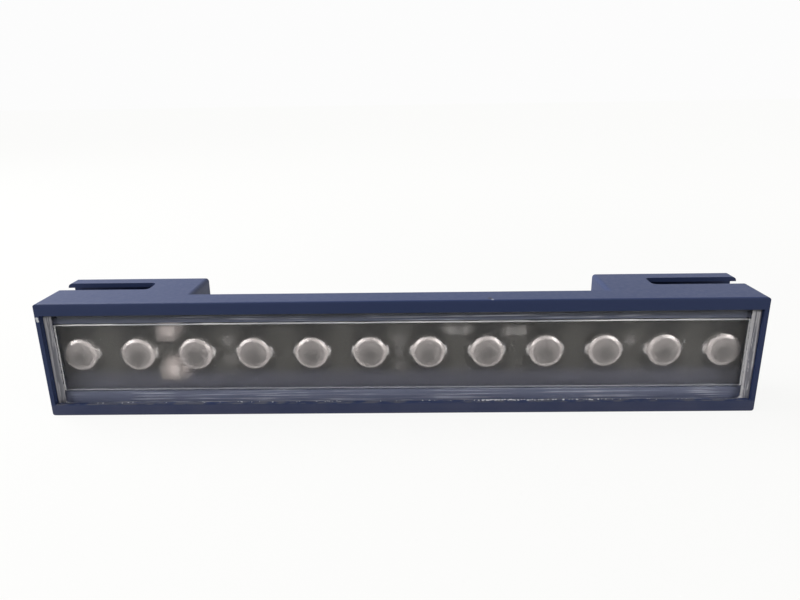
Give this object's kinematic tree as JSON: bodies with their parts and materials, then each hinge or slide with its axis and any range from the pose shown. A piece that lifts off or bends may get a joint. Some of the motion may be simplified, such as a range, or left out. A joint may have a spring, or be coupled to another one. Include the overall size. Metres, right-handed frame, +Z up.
{
  "type": "led strip batten",
  "caption": "Slim navy metal LED bar with a frosted window over a row of round emitters, and two slotted ears on its top rear edge for hanging it from screws.",
  "frame": {"origin": "middle of the underside, at half the length and half the depth over the ears", "axes": "+X along the bar to the right as seen from the front, window facing -Y, +Z up towards the ears"},
  "size_m": [0.1222, 0.0152, 0.0203],
  "materials": {
    "navy_paint": "fine matt powder coat",
    "clear_sealant": "clear cured sealant",
    "clear_pane": "clear acrylic",
    "frosted_film": "frosted",
    "lens": "moulded clear silicone",
    "ivory_plastic": "moulded",
    "tin": "tinned",
    "board": "dark solder mask",
    "chip_tan": "ceramic",
    "chip_black": "ceramic",
    "thermal_pad": "soft silicone",
    "steel": "zinc plated",
    "rubber": "matt",
    "black_plastic": "fine grain"
  },
  "bodies": {
    "root": {"housing": "navy_paint", "window_sealant": "clear_sealant", "window_pane": "clear_pane", "diffuser_film": "frosted_film", "film_bead": "clear_sealant", "inner_frame": "navy_paint", "led_lens_01": "lens", "led_lens_02": "lens", "led_lens_03": "lens", "led_lens_04": "lens", "led_lens_05": "lens", "led_lens_06": "lens", "led_lens_07": "lens", "led_lens_08": "lens", "led_lens_09": "lens", "led_lens_10": "lens", "led_lens_11": "lens", "led_lens_12": "lens", "led_package_01": "ivory_plastic", "led_package_02": "ivory_plastic", "led_package_03": "ivory_plastic", "led_package_04": "ivory_plastic", "led_package_05": "ivory_plastic", "led_package_06": "ivory_plastic", "led_package_07": "ivory_plastic", "led_package_08": "ivory_plastic", "led_package_09": "ivory_plastic", "led_package_10": "ivory_plastic", "led_package_11": "ivory_plastic", "led_package_12": "ivory_plastic", "led_leads": "tin", "led_board": "board", "capacitors": "chip_tan", "resistors": "chip_black", "chip_ends": "tin", "thermal_pad": "thermal_pad", "wire_header": "ivory_plastic", "header_pins": "tin", "solder_joints": "tin", "rear_panel": "navy_paint", "panel_nuts": "steel", "panel_screws": "steel", "cover_studs": "steel", "cover_gasket": "rubber", "junction_cover": "black_plastic", "stud_nuts": "steel", "cable_grommet": "rubber"}
  },
  "joints": []
}
